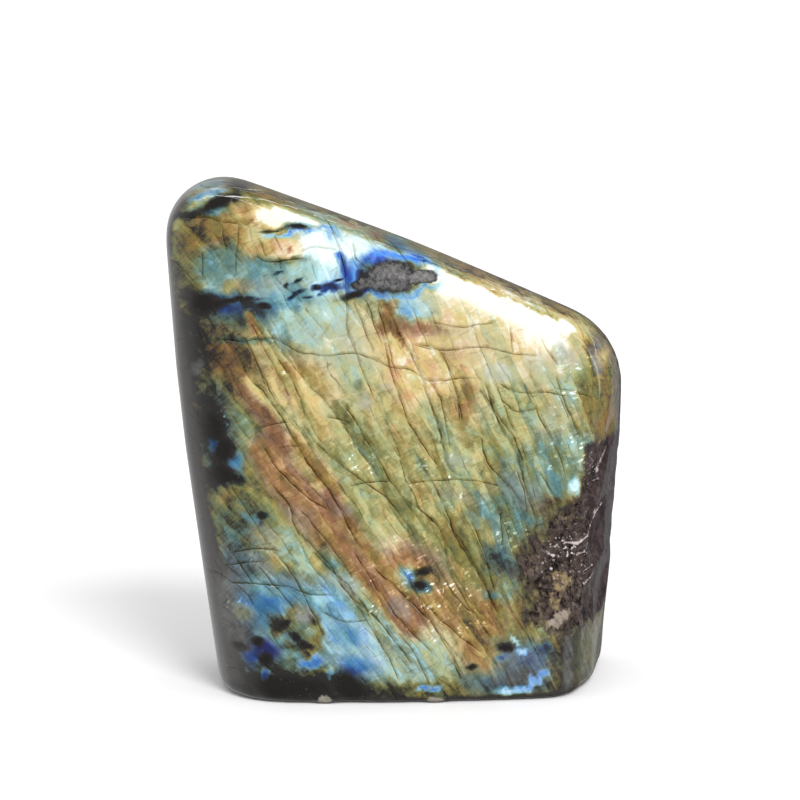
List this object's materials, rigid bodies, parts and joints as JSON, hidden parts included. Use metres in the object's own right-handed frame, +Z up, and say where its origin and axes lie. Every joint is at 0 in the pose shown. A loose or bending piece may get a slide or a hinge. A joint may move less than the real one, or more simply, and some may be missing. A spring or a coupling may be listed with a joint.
{
  "type": "polished mineral freeform",
  "caption": "Upright slab of polished labradorite with rounded edges, a slanting ridge, a flat sawn base and a broken unpolished patch low on one edge",
  "frame": {"origin": "the centre of the bounding box in plan, at the level of the flat sawn base", "axes": "+Z up through the stone, the broad face with the strongest colours looks along -Y, and the ridge falls towards +X"},
  "size_m": [0.0866, 0.0378, 0.0975],
  "materials": {
    "polished_labradorite": "polished grey-green feldspar with blue, green, gold and copper flash"
  },
  "bodies": {
    "root": {"labradorite_stone": "polished_labradorite"}
  },
  "joints": []
}
